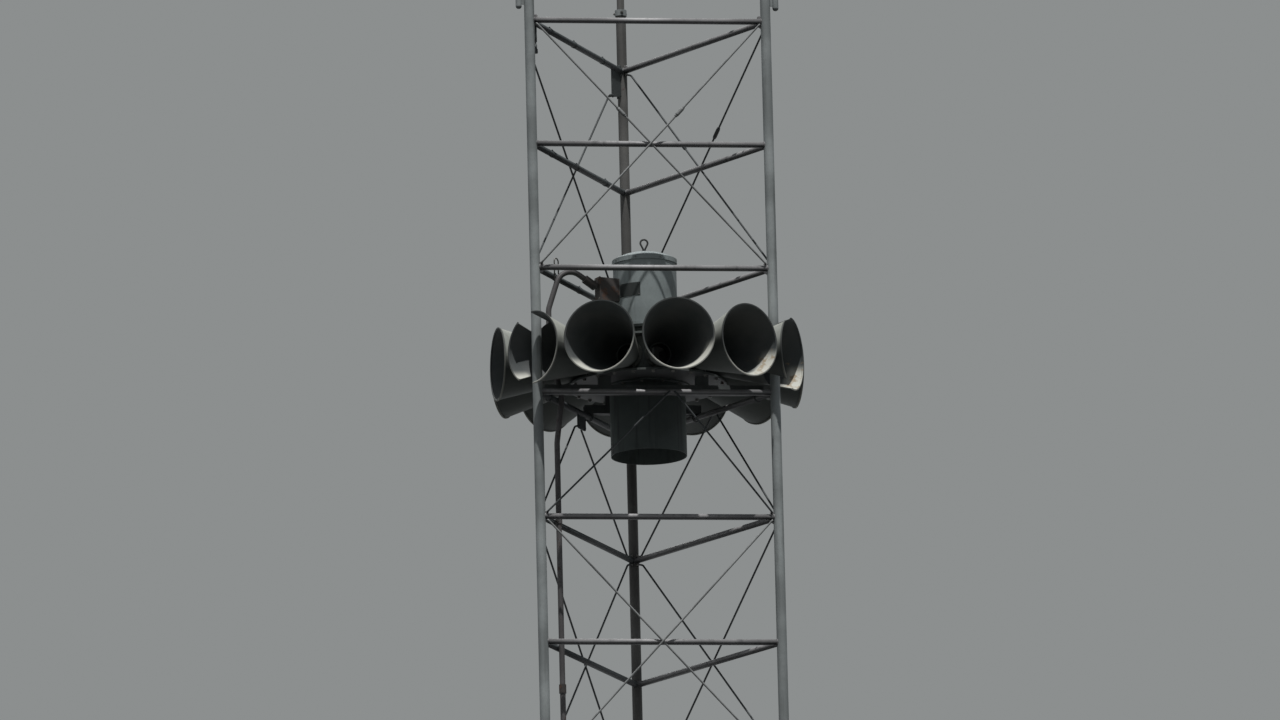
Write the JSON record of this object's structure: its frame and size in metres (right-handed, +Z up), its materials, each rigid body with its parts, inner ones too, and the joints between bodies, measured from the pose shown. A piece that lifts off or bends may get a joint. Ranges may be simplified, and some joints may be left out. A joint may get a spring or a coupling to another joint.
{
  "type": "civil defense siren tower",
  "caption": "Tubular lattice tower with a ring of flared siren horns round an upright motor, an open intake tube below and a conduit up one side.",
  "frame": {"origin": "on the tower's own axis at ground level, under the middle of the three legs", "axes": "+Z up the tower, -Y out of the front face, +X to the right seen from the front"},
  "size_m": [1.49, 1.49, 13.17],
  "materials": {
    "leg_metal": "weathered grey paint",
    "foot_metal": "weathered grey paint",
    "strut_metal": "weathered grey with rust tint",
    "rod_metal": "dull",
    "horn_paint": "chalky pale grey",
    "head_metal": "weathered grey-green",
    "tube_metal": "weathered grey-green",
    "rotor_metal": "dull cast",
    "motor_paint": "chalky grey-green",
    "eye_metal": "dull",
    "dark_plate": "dull",
    "box_metal": "rusty",
    "conduit_metal": "weathered zinc",
    "beam_metal": "weathered grey"
  },
  "bodies": {
    "root": {"left_leg": "leg_metal", "right_leg": "leg_metal", "back_leg": "leg_metal", "leg_sleeves": "leg_metal", "leg_collars": "leg_metal", "side_pipes": "leg_metal", "left_foot_plate": "foot_metal", "right_foot_plate": "foot_metal", "back_foot_plate": "foot_metal", "front_struts": "strut_metal", "left_struts": "strut_metal", "right_struts": "strut_metal", "brace_fittings": "strut_metal", "front_rods": "rod_metal", "left_rods": "rod_metal", "right_rods": "rod_metal", "horn_01": "horn_paint", "horn_02": "horn_paint", "horn_03": "horn_paint", "horn_04": "horn_paint", "horn_05": "horn_paint", "horn_06": "horn_paint", "horn_07": "horn_paint", "horn_08": "horn_paint", "horn_09": "horn_paint", "horn_10": "horn_paint", "horn_11": "horn_paint", "horn_12": "horn_paint", "stator": "head_metal", "top_plate": "head_metal", "bottom_plate": "head_metal", "motor_pedestal": "head_metal", "intake_tube": "tube_metal", "rotor": "rotor_metal", "motor_body": "motor_paint", "motor_cap": "motor_paint", "eye_bolt": "eye_metal", "nameplate": "dark_plate", "junction_box": "box_metal", "conduit_fittings": "box_metal", "conduit": "conduit_metal", "conduit_straps": "conduit_metal", "front_beam": "beam_metal", "back_beam": "beam_metal", "u_bolts": "beam_metal"}
  },
  "joints": []
}
